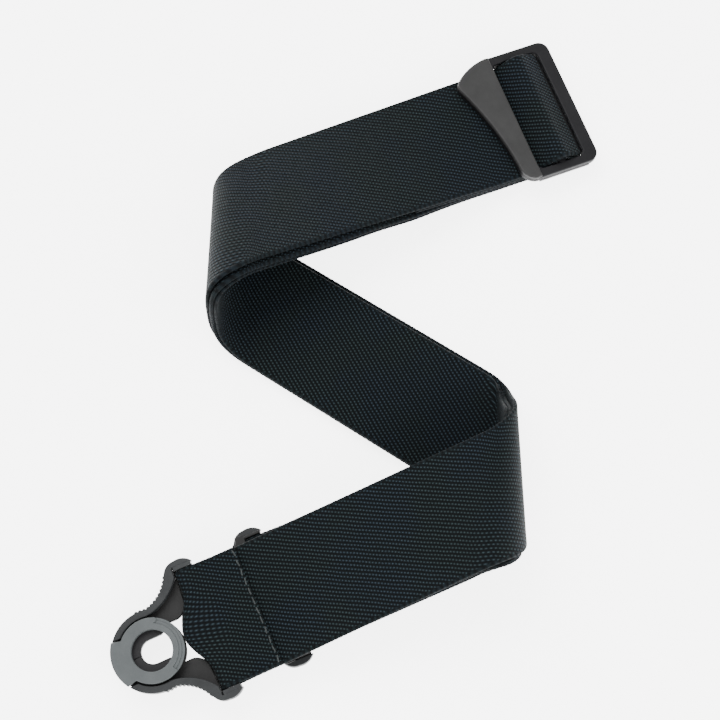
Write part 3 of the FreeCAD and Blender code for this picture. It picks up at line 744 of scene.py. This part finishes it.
def lever_outline():
    inner, outer = GRIP_R
    points = arc((0, 0), outer, 144.6, 96, 24)
    waist = arc((0, 0), outer, 95, 78, 20)[:-1]
    waist += arc_through(polar(outer, 78), (9.2, 18.5), (15.0, 25.6), 110)
    points += ribbed(waist, 0.5)
    points += arc_through((15.0, 25.6), (16.8, 28.1), (20.5, 29.3), 10)[1:]
    points += arc_through((20.5, 29.3), (25.2, 28.6), (27.2, 26.9), 10)[1:]
    points += [(18.6, 26.9), (18.6, 23.2)]
    points += arc_through((18.6, 23.2), (11.0, 16.2), polar(inner, 80), 20)[1:]
    points += arc((0, 0), inner, 80, 136, 24)[1:]
    return points


def jaw_outline():
    r, outer = 4.85, 8.9
    tip = math.degrees(math.asin(7.2 / outer))
    points = arc((0, 0), r, 179.5, 90, 20) + [(5.2, r)]
    points += arc_through((5.2, r), (6.3, 6.2), polar(outer, tip), 8)[1:]
    points += arc((0, 0), outer, tip, 179.7, 32)[1:]
    return points


def web_outline():
    return outline(
        (2.0, 8.6), (12.6, 8.2), ((16.4, 9.9), (18.2, 13.4)), (18.6, 21.0), (19.0, 25.3), (26.6, 25.3),
        (26.6, 26.6), (16.5, 26.6), (12.5, 20.5), (6.5, 15.0), (0.0, 13.0),
    )


def cover_meshes():
    """The grey ring: flat at the tab, and stepped down in terraces beside the webbing."""
    at_nose, at_ring = TAB_ENDS
    tab = arc((0, 0), NOSE_R, at_nose, 360 - at_nose, 32)
    tab += arc((0, 0), RING_WALL_R, 360 - at_ring, at_ring, 32)
    start, end = TERRACE_ENDS
    inner, outer = TERRACES[0][0], RING_R
    meshes = [
        plate([circle((0, 0), RING_WALL_R), circle((0, 0), HOLE_R)], 4.9, 6.45, 0.2),
        plate([circle((0, 0), inner + 0.3), circle((0, 0), HOLE_R)], 6.4, 7.6, 0.3, 4),
        plate([sector(inner - 0.6, outer, end, 360 + start, 96)], 6.4, 7.59, 0.3, 4),
        plate([tab], 6.4, 7.58, 0.3, 4),
        plate([sector(HOLE_R + 0.5, NOSE_R, 150, 210)], 4.9, 6.6, 0.2),
        plate([circle(polar(11.9, end + 1), 1.05, 24)], 6.4, 7.58, 0.3, 4),
    ]
    for low, high, top in TERRACES:
        meshes.append(plate([sector(low - 0.4, high, start - 4, end + 4, 64)], 6.3, top, 0.16))
    return meshes


def build_lock(name, place):
    """One button lock: back frame, cover ring, levers and jaws."""
    frame_parts = [
        plate([circle((0, 0), BACK_STRAP_R), circle((0, 0), HOLE_R + 0.1)], 0.0, 2.0, 0.35),
        plate([sector(HOLE_R + 0.5, BACK_R, 80, 280)], 0.01, 1.99, 0.35),
    ]
    cheek = [(18.9, 25.3), (26.6, 25.3), (26.6, 26.6), (18.9, 26.6)]
    # thin shelf under the loop, cut back where the loop bows, that closes the slit beside the web
    tongue = [
        (16.0, 12.8), (18.75, 12.8), (18.8, 13.6), (19.3, 15.2), (19.6, 16.6), (19.6, 27.2), (16.0, 27.2),
    ]
    for side in (1, -1):
        frame_parts.append(plate([mirrored(web_outline(), side)], 0.02, 2.02, 0.4))
        frame_parts.append(plate([mirrored(cheek, side)], 0.1, 5.2, 0.3))
        frame_parts.append(plate([mirrored(tongue, side)], 0.03, 0.9, 0.2))
    frame_parts.append(plate([sector(14.6, 15.7, 158, 202)], 1.0, 4.7, 0.2))
    groups = [(BLACK, frame_parts)]
    moulding(name + "_frame", groups, place, name, name + "_back_frame")
    groups = [(GREY, cover_meshes())]
    moulding(name + "_ring", groups, place, name, name + "_cover")

    for side, word in ((1, "left"), (-1, "right")):
        lever, jaw = "%s_lever_%s" % (name, word), "%s_jaw_%s" % (name, word)
        flange = [(19.2, 25.3), (26.6, 25.3), (26.6, 27.0), (19.2, 27.0)]
        grip = [
            plate([mirrored(lever_outline(), side)], 2.2, 6.2, 0.35, 4),
            plate([mirrored(flange, side)], 5.4, 6.18, 0.2),
        ]
        moulding(lever + "_grip", [(GRIP, grip)], place, lever, lever)
        ear = outline(
            (-6.8, 5.4), (-10.0, 7.3), ((-12.9, 6.6), (-12.8, 4.2)), ((-11.4, 3.3), (-9.6, 3.6)), (-7.8, 3.2),
        )
        lips = [plate([mirrored(jaw_outline(), side)], 2.2, 4.6, 0.3, 4)]
        lips.append(plate([mirrored(ear, side)], 2.3, 4.5, 0.3))
        moulding(jaw + "_lip", [(JAW, lips)], place, jaw, jaw)


# ---------------------------------------------------------------- stitches

def build_stitches():
    """A row of bar stitches across lock A's sewn flap, each dipping into the cloth at its ends."""
    rng = np.random.default_rng(7)
    top = close[1] + WEB_THICK / 2
    row = []
    for i in range(12):
        middle = (i - 5.5) * 4.1 + rng.uniform(-0.15, 0.15)
        lean = rng.uniform(-0.2, 0.2)
        spread = [(-1.35, -0.3), (-0.9, 0.08), (0.0, 0.2), (0.9, 0.08), (1.35, -0.3)]
        row.append(rod([(LOCK_FLAP - 0.9 + lean * s, middle + s, top + h) for s, h in spread], 0.3))
    moulding("flap_stitches", [(THREAD, row)], CROSS_A, "webbing", "lock_a_stitches")


build_slider()
build_lock("lock_a", LOCK_A)
build_lock("lock_b", LOCK_B)
build_stitches()

for node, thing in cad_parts.items():
    if thing.hide_render:
        continue
    material = THREAD if "stitches" in node else SPRING if "springs" in node else STEEL
    thing.data.materials.clear()
    thing.data.materials.append(material)


# ---------------------------------------------------------------- table and light

WORLD_LIGHT = 1.15
LAMPS = (                                # name, place, size and power
    ("key", (-0.45, 0.55, 1.1), 0.9, 20.0),
    ("fill", (0.9, -0.5, 0.7), 0.8, 12.0),
    ("front", (0.0, -0.9, 0.5), 0.8, 6.0),
)


def build_stage():
    mesh = bpy.data.meshes.new("table_top")
    mesh.from_pydata([(-3, -3, 0), (3, -3, 0), (3, 3, 0), (-3, 3, 0)], [], [(0, 1, 2, 3)])
    mesh.materials.append(floor_material())
    table = bpy.data.objects.new("table_top", mesh)
    table.location.z = -0.0003
    bpy.context.scene.collection.objects.link(table)
    world = bpy.data.worlds.new("soft_white")
    world.use_nodes = True
    world.node_tree.nodes["Background"].inputs[0].default_value = (1.0, 1.0, 1.0, 1.0)
    world.node_tree.nodes["Background"].inputs[1].default_value = WORLD_LIGHT
    bpy.context.scene.world = world
    for name, where, size, power in LAMPS:
        data = bpy.data.lights.new(name, "AREA")
        data.size = size
        data.energy = power
        lamp = bpy.data.objects.new(name, data)
        lamp.location = where
        lamp.rotation_euler = (-Vector(where)).to_track_quat("-Z", "Y").to_euler()
        bpy.context.scene.collection.objects.link(lamp)


build_stage()
